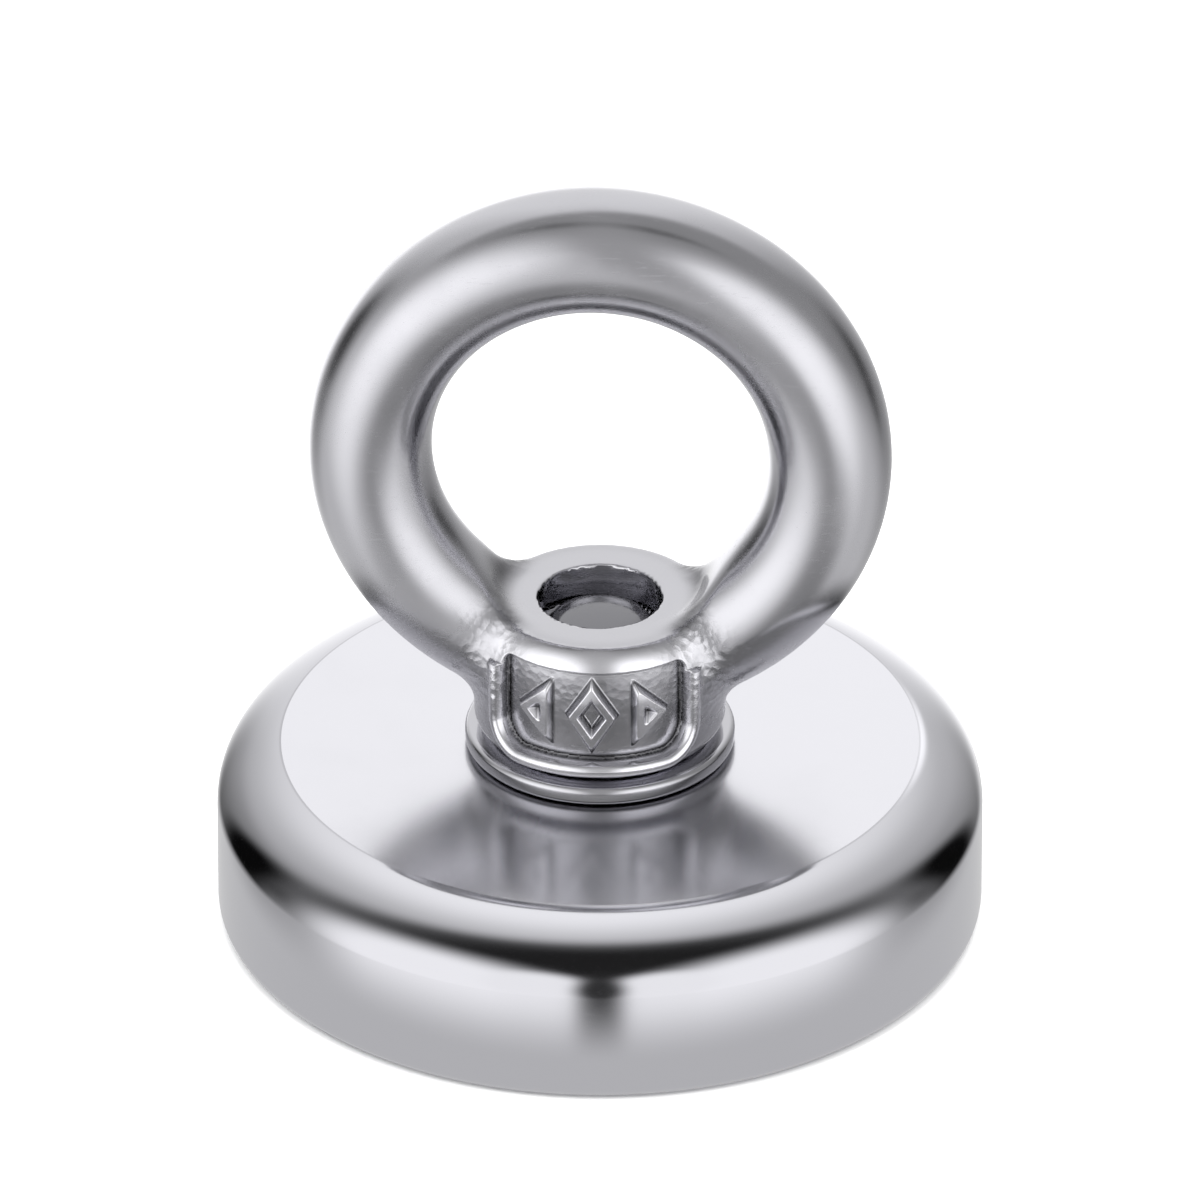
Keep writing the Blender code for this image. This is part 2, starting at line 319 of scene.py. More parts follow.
def mesh_object(name, bm):
    """An object at the origin from a finished bmesh, shaded smooth."""
    for face in bm.faces:
        face.smooth = True
    mesh = bpy.data.meshes.new(name)
    bm.to_mesh(mesh)
    bm.free()
    obj = bpy.data.objects.new(name, mesh)
    bpy.context.scene.collection.objects.link(obj)
    return obj


def spin_profile(profile, steps, closed=True):
    """A bmesh of an outline of (radius, z) points turned about the Z axis."""
    bm = bmesh.new()
    points = [bm.verts.new((r, 0.0, z)) for r, z in profile]
    edges = [bm.edges.new(pair) for pair in zip(points, points[1:])]
    if closed:
        edges.append(bm.edges.new((points[-1], points[0])))
    bmesh.ops.spin(
        bm,
        geom=points + edges,
        cent=(0, 0, 0),
        axis=(0, 0, 1),
        dvec=(0, 0, 0),
        angle=2 * pi,
        steps=steps,
        use_merge=True,
    )
    bmesh.ops.remove_doubles(bm, verts=bm.verts[:], dist=1e-8)
    bmesh.ops.recalc_face_normals(bm, faces=bm.faces[:])
    return bm


def turned(name, profile, steps=192, closed=True):
    """A turned piece whose flats stay flat next to its small rounds."""
    obj = mesh_object(name, spin_profile(profile, steps, closed))
    weighted = obj.modifiers.new("Flat faces first", "WEIGHTED_NORMAL")
    weighted.weight = 80
    return obj


def applied(obj):
    """Bakes an object's modifiers into its mesh."""
    depsgraph = bpy.context.evaluated_depsgraph_get()
    baked = bpy.data.meshes.new_from_object(obj.evaluated_get(depsgraph))
    obj.modifiers.clear()
    obj.data = baked
    return obj


def cut(obj, cutter):
    """Takes the cutter's shape away from obj and removes the cutter."""
    modifier = obj.modifiers.new("Cut", "BOOLEAN")
    modifier.object = cutter
    modifier.operation = "DIFFERENCE"
    applied(obj)
    bpy.data.objects.remove(cutter)
    return obj


def finish_piece(obj, material, slot, body, *nodes):
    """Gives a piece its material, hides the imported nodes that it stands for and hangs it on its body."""
    obj.data.materials.clear()
    obj.data.materials.append(material)
    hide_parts(*nodes)
    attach(obj, body)
    return obj


# ---------------------------------------------------------------- material helpers


def link(tree, source, target):
    tree.links.new(source, target)


def add_node(tree, kind, inputs=(), **fields):
    """A shader node with its fields set and its inputs, by name or number, set or linked."""
    node = tree.nodes.new("ShaderNode" + kind)
    for field, value in fields.items():
        setattr(node, field, value)
    for label, value in dict(inputs).items():
        if isinstance(value, bpy.types.NodeSocket):
            link(tree, value, node.inputs[label])
        else:
            node.inputs[label].default_value = value
    return node


def group_tree(name, inputs, outputs):
    """A new shader node group with named sockets; inputs are (name, kind, default)."""
    tree = bpy.data.node_groups.new(name, "ShaderNodeTree")
    for label, kind, default in inputs:
        socket = tree.interface.new_socket(name=label, in_out="INPUT", socket_type=kind)
        if default is not None:
            socket.default_value = default
    for label, kind in outputs:
        tree.interface.new_socket(name=label, in_out="OUTPUT", socket_type=kind)
    return tree, tree.nodes.new("NodeGroupInput"), tree.nodes.new("NodeGroupOutput")


def math_node(tree, operation, *values):
    """A Math node on sockets or numbers; returns its output."""
    return add_node(tree, "Math", enumerate(values), operation=operation).outputs[0]


def noise(tree, vector, scale, detail=4.0, roughness=0.55):
    inputs = {"Vector": vector, "Scale": scale, "Detail": detail, "Roughness": roughness}
    return add_node(tree, "TexNoise", inputs).outputs["Fac"]


def remap(tree, value, low, high, to_low, to_high, kind="SMOOTHSTEP"):
    inputs = {"Value": value, "From Min": low, "From Max": high, "To Min": to_low, "To Max": to_high}
    return add_node(tree, "MapRange", inputs, interpolation_type=kind).outputs["Result"]


def polish_group():
    """Polished plating: broad smudges, hairline scratches and a very slight waviness."""
    tree, source, result = group_tree(
        "polished_metal",
        [
            ("Vector", "NodeSocketVector", None),
            ("Smudge", "NodeSocketFloat", 1.0),
            ("Scratch", "NodeSocketFloat", 1.0),
        ],
        [("Roughness", "NodeSocketFloat"), ("Height", "NodeSocketFloat")],
    )
    vector = source.outputs["Vector"]
    smudge = remap(tree, noise(tree, vector, 260.0), 0.42, 0.72, 0.0, 1.0)
    drawn_out = {"Vector": vector, "Rotation": (0.4, 0.3, 0.7), "Scale": (1.0, 14.0, 14.0)}
    stretch = add_node(tree, "Mapping", drawn_out)
    hairline = remap(tree, noise(tree, stretch.outputs["Vector"], 900.0, 3.0), 0.6, 0.68, 0.0, 1.0)
    soft = math_node(tree, "MULTIPLY", smudge, source.outputs["Smudge"])
    sharp = math_node(tree, "MULTIPLY", hairline, source.outputs["Scratch"])
    link(tree, math_node(tree, "ADD", soft, sharp), result.inputs["Roughness"])
    ripple = math_node(tree, "MULTIPLY", noise(tree, vector, 420.0, 1.0), 0.6)
    dent = math_node(tree, "MULTIPLY", sharp, -0.12)
    link(tree, math_node(tree, "ADD", ripple, dent), result.inputs["Height"])
    return tree


def casting_group():
    """Cast skin: fine pits and grains, strongest where Mask is 1."""
    tree, source, result = group_tree(
        "casting_skin",
        [("Vector", "NodeSocketVector", None), ("Mask", "NodeSocketFloat", 0.0)],
        [("Roughness", "NodeSocketFloat"), ("Height", "NodeSocketFloat")],
    )
    vector, mask = source.outputs["Vector"], source.outputs["Mask"]
    grain = add_node(tree, "TexVoronoi", {"Vector": vector, "Scale": 3600.0})
    lumps = noise(tree, vector, 2600.0, 3.0)
    rough = math_node(tree, "ADD", grain.outputs["Distance"], lumps)
    link(tree, math_node(tree, "MULTIPLY", rough, mask), result.inputs["Height"])
    link(tree, math_node(tree, "MULTIPLY", lumps, mask), result.inputs["Roughness"])
    return tree


def new_material(name, colour, metallic, roughness):
    """A material with a Principled shader and the piece's Object coordinates."""
    material = bpy.data.materials.new(name)
    material.use_nodes = True
    tree = material.node_tree
    shader = tree.nodes["Principled BSDF"]
    shader.inputs["Base Color"].default_value = (*colour, 1.0)
    shader.inputs["Metallic"].default_value = metallic
    shader.inputs["Roughness"].default_value = roughness
    return material, tree, shader, add_node(tree, "TexCoord").outputs["Object"]


def place_group(tree, group, vector, **values):
    return add_node(tree, "Group", {"Vector": vector, **values}, node_tree=group)


def bump(tree, shader, height, distance, strength=1.0, over=None):
    inputs = {"Distance": distance, "Strength": strength, "Height": height}
    if over is not None:
        inputs["Normal"] = over
    normal = add_node(tree, "Bump", inputs).outputs["Normal"]
    link(tree, normal, shader.inputs["Normal"])
    return normal


def metal_nodes(name, colour, polish, roughness, smudge, scratch, wave):
    """Polished metal: its roughness runs between two values over smudges and scratches.

    Returns the material, its shader, its coordinates and the roughness that feeds the shader.
    """
    least, most = roughness
    material, tree, shader, vector = new_material(name, colour, 1.0, least)
    finish = place_group(tree, polish, vector, Smudge=smudge, Scratch=scratch)
    worn = remap(tree, finish.outputs["Roughness"], 0.0, 1.0, least, most, "LINEAR")
    link(tree, worn, shader.inputs["Roughness"])
    bump(tree, shader, finish.outputs["Height"], wave)
    return material, shader, vector, worn


def metal(name, colour, polish, roughness, smudge, scratch, wave):
    return metal_nodes(name, colour, polish, roughness, smudge, scratch, wave)[0]


def plated_pot(settings, polish):
    """Polished plating, a little duller on the turned flat of the top, and darker there as painted shade."""
    material, shader, vector, worn = metal_nodes(
        "nickel_plated_steel",
        settings.colour,
        polish,
        roughness=(0.09, 0.15),
        smudge=0.4,
        scratch=0.25,
        wave=0.4e-6,
    )
    tree = material.node_tree
    place = add_node(tree, "SeparateXYZ", {0: vector})
    top = remap(tree, place.outputs["Z"], POT_HIGH.z - 0.02 * MM, POT_HIGH.z - 0.005 * MM, 0.0, 1.0)
    duller = math_node(tree, "MULTIPLY", top, settings.top_dullness)
    link(tree, math_node(tree, "ADD", worn, duller), shader.inputs["Roughness"])
    # colour B, 0.8 of the plating on the top flat, is painted shade that dims what the flat mirrors
    colours = {"A": (*settings.colour, 1.0), "B": (*(0.8 * value for value in settings.colour), 1.0)}
    darker = add_node(tree, "Mix", {"Factor": top, **colours}, data_type="RGBA")
    link(tree, darker.outputs["Result"], shader.inputs["Base Color"])
    return material


def shade_colour(tree, shader, colour):
    """Colour that runs from painted shade over plain steel to painted highlights."""
    shade = add_node(tree, "Attribute", attribute_name="shade")
    tint = add_node(tree, "ValToRGB", {"Fac": shade.outputs["Fac"]})
    ramp = tint.color_ramp
    # the dark end paints shade and the bright end paints highlights into the steel's colour
    ramp.elements[0].color = (0.08, 0.079, 0.084, 1.0)
    ramp.elements[1].color = (0.93, 0.925, 0.97, 1.0)
    ramp.elements.new(0.5).color = (*colour, 1.0)
    link(tree, tint.outputs["Color"], shader.inputs["Base Color"])


def cast_stainless(colour, polish, casting):
    """Bright casting, polished on its open faces and grained where ring and boss meet."""
    material, tree, shader, vector = new_material("cast_stainless", colour, 1.0, 0.08)
    finish = place_group(tree, polish, vector, Smudge=0.8, Scratch=0.5)
    mask = add_node(tree, "Attribute", attribute_name="cast_grain")
    skin = place_group(tree, casting, vector, Mask=mask.outputs["Fac"])
    total = math_node(tree, "ADD", finish.outputs["Roughness"], skin.outputs["Roughness"])
    link(tree, remap(tree, total, 0.0, 1.0, 0.16, 0.32, "LINEAR"), shader.inputs["Roughness"])
    smooth = bump(tree, shader, finish.outputs["Height"], 0.6e-6)
    bump(tree, shader, skin.outputs["Height"], 50e-6, 0.6, smooth)
    # the colour carries painted shade in corners and painted highlights on edges
    shade_colour(tree, shader, colour)
    return material


def potting_resin(colour):
    """Black resin with a soft sheen and a little dust all over it."""
    material, tree, shader, vector = new_material("potting_resin", colour, 0.0, 0.22)
    dust = noise(tree, vector, 3000.0)
    link(tree, remap(tree, dust, 0.35, 0.75, 0.16, 0.42), shader.inputs["Roughness"])
    bump(tree, shader, noise(tree, vector, 600.0), 20e-6)
    return material


def cured_adhesive():
    """Greyish cured film between magnet and pot, with trapped bubbles."""
    material, tree, shader, vector = new_material("cured_adhesive", (0.35, 0.32, 0.27), 0.0, 0.5)
    bubbles = add_node(tree, "TexVoronoi", {"Vector": vector, "Scale": 1500.0})
    link(tree, remap(tree, bubbles.outputs["Distance"], 0.0, 0.5, 0.3, 0.6), shader.inputs["Roughness"])
    bump(tree, shader, bubbles.outputs["Distance"], 20e-6)
    return material


# ---------------------------------------------------------------- turned pieces


def pot_profile(settings):
    """Outline of the pot, from its hole out over the shoulder and round to the recess."""
    radius, height = POT_HIGH.x, POT_HIGH.z
    centre_radius = radius - settings.shoulder_width
    crease = acos((settings.top_flat_radius - centre_radius) / settings.shoulder_width)
    centre = (centre_radius, height - settings.shoulder_rise * sin(crease))
    shoulder = arc(centre, (settings.shoulder_width, settings.shoulder_rise), degrees(crease), 0, 40)
    corners = [(settings.hole_radius, height, 0.12 * MM), (*shoulder[0], 0.03 * MM)]
    corners += [(r, z, 0) for r, z in shoulder[2:]]
    corners += [
        (radius, 0.0, settings.rim_round),
        (settings.recess_radius, 0.0, 0.1 * MM),
        (settings.recess_radius, settings.recess_depth, 0.25 * MM),
        (settings.hole_radius, settings.recess_depth, 0.1 * MM),
    ]
    return filleted(corners, 6)


def magnet_profile(settings, hole_radius):
    """Outline of the countersunk ring magnet."""
    low_z, high_z, radius = MAGNET_LOW.z, MAGNET_HIGH.z, MAGNET_HIGH.x
    head_edge_z = SCREW_LOW.z + bpy.context.scene.magnet_screw.head_land
    mouth = SCREW_HIGH.x + settings.countersink_clearance + head_edge_z - low_z
    edge = settings.edge_round
    corners = [
        (hole_radius, high_z, 0.08 * MM),
        (radius, high_z, edge),
        (radius, low_z, edge),
        (mouth, low_z, 0.12 * MM),
        (hole_radius, low_z + mouth - hole_radius, 0.1 * MM),
    ]
    return filleted(corners, 5)


def resin_profile(settings):
    """Outline of the potting, hollowed a little by its surface tension."""
    gap = POT_HIGH.x - bpy.context.scene.magnet_pot.recess_radius
    inner = MAGNET_HIGH.x + (POT_HIGH.x - gap - RESIN_HIGH.x)
    outer, low_z, high_z = RESIN_HIGH.x, RESIN_LOW.z, RESIN_HIGH.z
    steps = 8
    face = []
    for i in range(steps + 1):
        part = i / steps
        face.append((outer + (inner - outer) * part, low_z + settings.resin_dip * sin(pi * part)))
    return [(inner, high_z), (outer, high_z), *face]


def washer_profile(settings):
    """Outline of the washer, rounded outside."""
    edge = settings.edge_round
    corners = [
        (settings.hole_radius, WASHER_HIGH.z, 0.06 * MM),
        (WASHER_HIGH.x, WASHER_HIGH.z, edge),
        (WASHER_HIGH.x, WASHER_LOW.z, edge),
        (settings.hole_radius, WASHER_LOW.z, 0.06 * MM),
    ]
    return filleted(corners, 6)


def ridge_half_width(radius):
    """Half the width of the screw's thread ridge at a radius."""
    return PITCH / 16 + (SCREW_RADIUS - radius) * FLANK_SLOPE


def thread_groove(settings):
    """The helical groove between the screw's ridges, as a closed cutter."""
    outer, inner = SCREW_RADIUS + 0.1 * MM, SCREW_ROOT_RADIUS
    wide = PITCH / 2 - ridge_half_width(outer)
    narrow = PITCH / 2 - ridge_half_width(inner)
    start = THREAD_START_Z + PITCH / 2
    turns = int((SCREW_HIGH.z - THREAD_START_Z) / PITCH) + 2
    section = [(inner, -narrow), (inner, narrow), (outer, wide), (outer, -wide)]
    bm = bmesh.new()
    points = [bm.verts.new((r, 0.0, start + z)) for r, z in section]
    edges = [bm.edges.new((points[i - 1], points[i])) for i in range(len(points))]
    bmesh.ops.spin(
        bm,
        geom=points + edges,
        cent=(0, 0, 0),
        axis=(0, 0, 1),
        dvec=(0, 0, PITCH / settings.thread_steps),
        angle=2 * pi * turns,
        steps=settings.thread_steps * turns,
        use_merge=False,
    )
    bmesh.ops.holes_fill(bm, edges=[e for e in bm.edges if e.is_boundary], sides=len(section))
    bmesh.ops.recalc_face_normals(bm, faces=bm.faces[:])
    return mesh_object("thread_groove", bm)


def hexagon_socket(settings):
    bm = bmesh.new()
    low_z, high_z = SCREW_LOW.z - 1 * MM, SCREW_LOW.z + settings.socket_depth
    radius = settings.socket_across_flats / 2 / cos(radians(30))
    middle = Matrix.Translation((0, 0, (low_z + high_z) / 2))
    bmesh.ops.create_cone(
        bm, cap_ends=True, segments=6, radius1=radius, radius2=radius, depth=high_z - low_z, matrix=middle
    )
    return mesh_object("hexagon_socket", bm)


def screw_blank(settings):
    """The screw before its socket and thread are cut, with a domed end."""
    head, low_z, tip_z = SCREW_HIGH.x, SCREW_LOW.z, SCREW_HIGH.z
    land_z = low_z + settings.head_land
    rise = settings.dome_rise
    dome = arc((0.0, tip_z - rise), (settings.dome_radius, rise), 90, 0, 12)
    corners = [(r, z, 0) for r, z in dome]
    corners[0] = (0.0, tip_z, 0)
    corners += [
        (SCREW_RADIUS, tip_z - 1.9 * rise, 0.08 * MM),
        (SCREW_RADIUS, land_z + head - SCREW_RADIUS, 0.1 * MM),
        (head, land_z, 0.06 * MM),
        (head, low_z, 0.06 * MM),
        (0.0, low_z, 0),
    ]
    profile = filleted(corners, 4, closed=False)
    bm = spin_profile(profile, settings.thread_steps * 2, closed=False)
    half_facet = Matrix.Rotation(pi / settings.thread_steps / 2, 3, "Z")
    bmesh.ops.rotate(bm, verts=bm.verts[:], cent=(0, 0, 0), matrix=half_facet)
    return mesh_object("countersunk_screw_finished", bm)


# ---------------------------------------------------------------- eye nut


def smooth_min(a, b, blend):
    """The lesser of a and b, rounded over where they are close."""
    h = np.clip(0.5 + 0.5 * (b - a) / blend, 0.0, 1.0)
    return b * (1 - h) + a * h - blend * h * (1 - h)


def smooth_max(a, b, blend):
    return -smooth_min(-a, -b, blend)


def rounded_box(x, z, half_x, half_z, corner):
    """Distance in the plane to a rectangle with rounded corners."""
    qx, qz = np.abs(x) - half_x + corner, np.abs(z) - half_z + corner
    outside = np.hypot(np.maximum(qx, 0), np.maximum(qz, 0))
    return outside + np.minimum(np.maximum(qx, qz), 0) - corner


# the eye nut's shape is worked out in millimetres

# seat round the bore: the ring is cut back to a wall that leans out a little
SEAT_RADIUS = 3.15
SEAT_LEAN = 0.4
SEAT_LOW = 0.9
SEAT_HIGH = 2.2

# plain counterbore above the screw's end
COUNTERBORE_RADIUS = 2.01
COUNTERBORE_DEPTH = 1.25
MOUTH_CHAMFER = 0.02

# recessed panel on the front of the boss and the bead round its sides and foot
PANEL_HALF_WIDTH = 3.42
PANEL_TOP_Z, PANEL_LOW_Z = 10.8, 7.6
PANEL_TOP_CORNER, PANEL_LOW_CORNER = 0.3, 0.95
BEAD_RADIUS = 0.26
BEAD_SINK = 0.03
BEAD_END = 1.2

# relief in the panel: ridges that follow the outlines of a lozenge and two triangles
RELIEF_HEIGHT = 0.3
LOZENGE_HALF_WIDTH, LOZENGE_HALF_HEIGHT = 0.88, 1.3
TRIANGLE_ASIDE = 2.05
TRIANGLE_BASE, TRIANGLE_TIP = 0.6, 0.7
RIDGE_INSET = 0.21
RIDGE_HALF_WIDTH = 0.2
RIDGE_FLANK = 0.18


def bell(value, middle, width):
    """1 at the middle, fading to 0 on both sides."""
    return np.exp(-(((value - middle) / width) ** 2))


def ramp(value, start, end):
    """0 at start, 1 at end, straight between them."""
    return np.clip((value - start) / (end - start), 0, 1)


class EyeNutShape:
    """The eye nut as a field in millimetres: below 0 inside the steel, 0 on its surface."""

    def __init__(self, settings):
        in_mm = 1 / MM
        self.boss_radius = settings.boss_radius * in_mm
        self.boss_top = settings.boss_top * in_mm
        self.boss_low = NUT_LOW.z * in_mm
        self.shoulder_width = settings.shoulder_width * in_mm
        self.shoulder_rise = settings.shoulder_rise * in_mm
        reach = (settings.top_flat_radius * in_mm - self.boss_radius) / self.shoulder_width + 1
        self.shoulder_z = self.boss_top - self.shoulder_rise * sqrt(1 - reach**2)
        self.foot_round = settings.foot_round * in_mm
        self.half_width = settings.ring_half_width * in_mm
        self.half_depth = settings.ring_half_depth * in_mm
        self.ring_radius = NUT_HIGH.x * in_mm - self.half_width
        self.ring_centre = NUT_HIGH.z * in_mm - self.half_width - self.ring_radius
        self.blend = settings.blend * in_mm
        self.panel_depth = settings.panel_depth * in_mm

    def ring(self, x, y, z):
        across = (np.hypot(x, z - self.ring_centre) - self.ring_radius) / self.half_width
        return (np.hypot(across, y / self.half_depth) - 1) * self.half_width

    def boss(self, around, z):
        """A cylinder with a creased elliptical shoulder at its top and a small round at its foot."""
        inside = np.maximum(around - self.boss_radius + self.shoulder_width, 0) / self.shoulder_width
        shoulder = (np.hypot(inside, (z - self.shoulder_z) / self.shoulder_rise) - 1) * self.shoulder_width
        out, down = around - self.boss_radius + self.foot_round, self.boss_low + self.foot_round - z
        foot = np.hypot(np.maximum(out, 0), np.maximum(down, 0)) + np.minimum(np.maximum(out, down), 0)
        side = np.where(z > self.shoulder_z, shoulder, foot - self.foot_round)
        return smooth_max(side, z - self.boss_top, 0.05)

    def ring_end(self, around, z):
        """Where the ring is left out, so that the boss alone makes the flat seat round the bore."""
        wall = (around - SEAT_RADIUS - SEAT_LEAN * np.maximum(z - self.boss_top, 0)) * 0.92
        return np.maximum(wall, np.maximum(self.boss_top - SEAT_LOW - z, z - self.boss_top - SEAT_HIGH))

    def bore(self, x, y, z, around):
        """The tapped hole: minor bore, helical groove, counterbore and a chamfer at each mouth."""
        turn = np.arctan2(y, x) / (2 * pi)
        pitch = PITCH / MM
        off = np.abs((z - THREAD_START_Z / MM - turn * pitch + pitch / 2) % pitch - pitch / 2)
        crest = SCREW_RADIUS / MM + (pitch / 16 + FLANK_CLEARANCE / MM - off) / FLANK_SLOPE
        wall = np.clip(crest, NUT_MINOR_RADIUS / MM, NUT_MAJOR_RADIUS / MM)
        wall = np.where(z > self.boss_top - COUNTERBORE_DEPTH, COUNTERBORE_RADIUS, wall)
        inwards = np.minimum(np.maximum(z - self.boss_top, self.boss_low - z), 0)
        mouth = NUT_MAJOR_RADIUS / MM + MOUTH_CHAMFER + inwards
        return np.maximum((around - np.maximum(wall, mouth)) * 0.7, z - self.ring_centre)

    def panel_outline(self, x, y, z):
        """Distance to the panel's outline, measured round the front of the boss."""
        sideways = np.arctan2(x, -y) * self.boss_radius
        up = z - (PANEL_TOP_Z + PANEL_LOW_Z) / 2
        corner = np.where(up > 0, PANEL_TOP_CORNER, PANEL_LOW_CORNER)
        half_height = (PANEL_TOP_Z - PANEL_LOW_Z) / 2
        return rounded_box(sideways, up, PANEL_HALF_WIDTH, half_height, corner), sideways, up

    def marks(self, sideways, up):
        """Height from 0 to 1 of plain relief: an open lozenge between two open triangles."""
        height = np.abs(up - 0.02)
        lozenge = (np.abs(sideways) / LOZENGE_HALF_WIDTH + height / LOZENGE_HALF_HEIGHT - 1) * 0.73
        aside = np.abs(sideways) - TRIANGLE_ASIDE
        slope = 0.67 * (aside - TRIANGLE_TIP) + 0.74 * height
        triangle = smooth_max(-aside - TRIANGLE_BASE, slope, 0.2)
        outline = np.minimum(lozenge, triangle)
        ridge = np.abs(outline + RIDGE_INSET) - RIDGE_HALF_WIDTH
        return np.clip(0.5 - ridge / RIDGE_FLANK, 0, 1)

    def field(self, points):
        """Below 0 inside the steel, 0 on its surface, near it about the distance."""
        x, y, z = points.T
        around = np.hypot(x, y)
        ring, boss = self.ring(x, y, z), self.boss(around, z)
        ring = smooth_max(ring, -self.ring_end(around, z), 0.5)
        body = smooth_min(ring, boss, self.blend)
        outline, sideways, up = self.panel_outline(x, y, z)
        floor = self.boss_radius - self.panel_depth
        bead = np.hypot(outline - BEAD_RADIUS, around - self.boss_radius + BEAD_SINK) - BEAD_RADIUS
        front = y < 0
        body = np.where(front & (up < BEAD_END), smooth_min(body, bead, 0.1), body)
        raised = floor + RELIEF_HEIGHT * self.marks(sideways, up)
        pocket = np.maximum(outline, (raised - around) * 0.6)
        body = np.where(front, smooth_max(body, -pocket, 0.1), body)
        return smooth_max(body, -self.bore(x, y, z, around), 0.05)

    def normals(self, points, step=0.01):
        slopes = [self.field(points + offset) - self.field(points - offset) for offset in np.eye(3) * step]
        slope = np.stack(slopes, axis=1) / (2 * step)
        size = np.linalg.norm(slope, axis=1, keepdims=True)
        return slope / np.maximum(size, 1e-6), size[:, 0]

    def settle(self, points, rounds=4, furthest=0.12):
        """Moves points along the field's slope until they lie on the surface."""
        for _ in range(rounds):
            normal, size = self.normals(points)
            move = self.field(points) / np.maximum(size, 0.3)
            points = points - normal * np.clip(move, -furthest, furthest)[:, None]
        return points

    def grain(self, points):
        """Where ring and boss blend on the outside, and in the panel, the skin stays as cast."""
        x, y, z = points.T
        around = np.hypot(x, y)
        near = bell(self.ring(x, y, z) - self.boss(around, z), 0, 0.8)
        skin = near * ramp(around, 2.8, 3.4) * ramp(z, 12.4, 11.6)
        outline, _, _ = self.panel_outline(x, y, z)
        panel = (y < 0) & (outline < -0.1) & (around < self.boss_radius - self.panel_depth + 0.1)
        return np.maximum(skin, panel * 0.16)

    def painted_shade(self, points):
        """1 where shade is painted into corners: at the foot of the panel's walls and relief, and less beside
        the seat.
        """
        x, y, z = points.T
        around = np.hypot(x, y)
        outline, sideways, up = self.panel_outline(x, y, z)
        marks = self.marks(sideways, up)
        foot = np.maximum(bell(outline, -0.06, 0.09), ramp(marks, 0, 0.2) * ramp(marks, 0.7, 0.2))
        low = ramp(around - self.boss_radius + self.panel_depth, 0.24, 0.08)
        beside = ramp(z - self.boss_top, -0.02, 0.08) * (z < self.ring_centre) * bell(around, 3.35, 0.35)
        return np.maximum((y < 0) * (outline < 0.12) * low * foot, 0.7 * beside)

    def painted_highlight(self, points):
        """1 where highlights are painted: on the bead, the relief's tops and the boss's shoulder."""
        x, y, z = points.T
        around = np.hypot(x, y)
        outline, sideways, up = self.panel_outline(x, y, z)
        proud = ramp(around - self.boss_radius, -0.12, -0.02)
        bead = (up < BEAD_END) * proud * bell(outline, BEAD_RADIUS, BEAD_RADIUS)
        tops = (outline < 0) * ramp(self.marks(sideways, up), 0.7, 1.0) * 0.8
        off_ring = ramp(self.ring(x, y, z), 0.1, 0.7) * (around < self.boss_radius + 0.2)
        shoulder = off_ring * bell(z - self.boss_top, -0.5, 0.42) * (z < self.boss_top - 0.03)
        return np.maximum((y < 0) * np.maximum(bead, tops), shoulder)

    def shade(self, points):
        """0 where shade is painted, 0.5 on plain steel, 1 where highlights are painted."""
        return 0.5 + 0.5 * self.painted_highlight(points) - 0.5 * self.painted_shade(points)


def read_points(mesh):
    points = np.empty(len(mesh.vertices) * 3)
    mesh.vertices.foreach_get("co", points)
    return points.reshape(-1, 3)


def write_points(mesh, points):
    mesh.vertices.foreach_set("co", points.ravel())
    mesh.update()


def even_skin(obj, step):
    """Covers an object's surface again with evenly stepped faces."""
    remesh = obj.modifiers.new("Even skin", "REMESH")
    remesh.mode = "VOXEL"
    remesh.voxel_size = step
    return applied(obj)


def packed_eye_nut():
    """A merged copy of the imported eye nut, in millimetres."""
    bm = bmesh.new()
    bm.from_mesh(frame["nodes"]["eye_nut"].data)
    bmesh.ops.remove_doubles(bm, verts=bm.verts[:], dist=1e-7)
    bmesh.ops.scale(bm, vec=(1 / MM,) * 3, verts=bm.verts[:])
    return mesh_object("eye_nut_finished", bm)


def refine_panel(obj, shape):
    """Halves the surface step round the panel twice, for its relief."""
    bm = bmesh.new()
    bm.from_mesh(obj.data)
    for margin in (0.5, 0.3):
        near = []
        for edge in bm.edges:
            middle = np.array([(edge.verts[0].co + edge.verts[1].co) / 2])
            outline, _, _ = shape.panel_outline(*middle.T)
            if middle[0, 1] < -2 and outline[0] < margin:
                near.append(edge)
        bmesh.ops.subdivide_edges(bm, edges=near, cuts=1, use_grid_fill=True)
    bmesh.ops.triangulate(bm, faces=[face for face in bm.faces if len(face.verts) > 4])
    bm.to_mesh(obj.data)
    bm.free()


def relax(mesh):
    bm = bmesh.new()
    bm.from_mesh(mesh)
    axes = {"use_axis_x": True, "use_axis_y": True, "use_axis_z": True}
    bmesh.ops.smooth_vert(bm, verts=bm.verts[:], factor=0.5, **axes)
    bm.to_mesh(mesh)
    bm.free()


def make_eye_nut_mesh(settings):
    """The eye nut's skin, drawn onto its exact shape with its exact normals."""
    shape = EyeNutShape(settings)
    obj = even_skin(packed_eye_nut(), settings.voxel / MM)
    write_points(obj.data, shape.settle(read_points(obj.data)))
    even_skin(obj, settings.voxel / MM)
    write_points(obj.data, shape.settle(read_points(obj.data)))
    refine_panel(obj, shape)
    for _ in range(3):
        relax(obj.data)
        write_points(obj.data, shape.settle(read_points(obj.data)))
    points = read_points(obj.data)
    normals, _ = shape.normals(points, 0.02)
    # cast_grain roughens the skin; shade carries the painted shade and painted highlights
    for name, values in (("cast_grain", shape.grain(points)), ("shade", shape.shade(points))):
        attribute = obj.data.attributes.new(name, "FLOAT", "POINT")
        attribute.data.foreach_set("value", values)
    write_points(obj.data, points * MM)
    obj.data.shade_smooth()
    obj.data.normals_split_custom_set_from_vertices(normals.tolist())
    return obj


# ---------------------------------------------------------------- studio


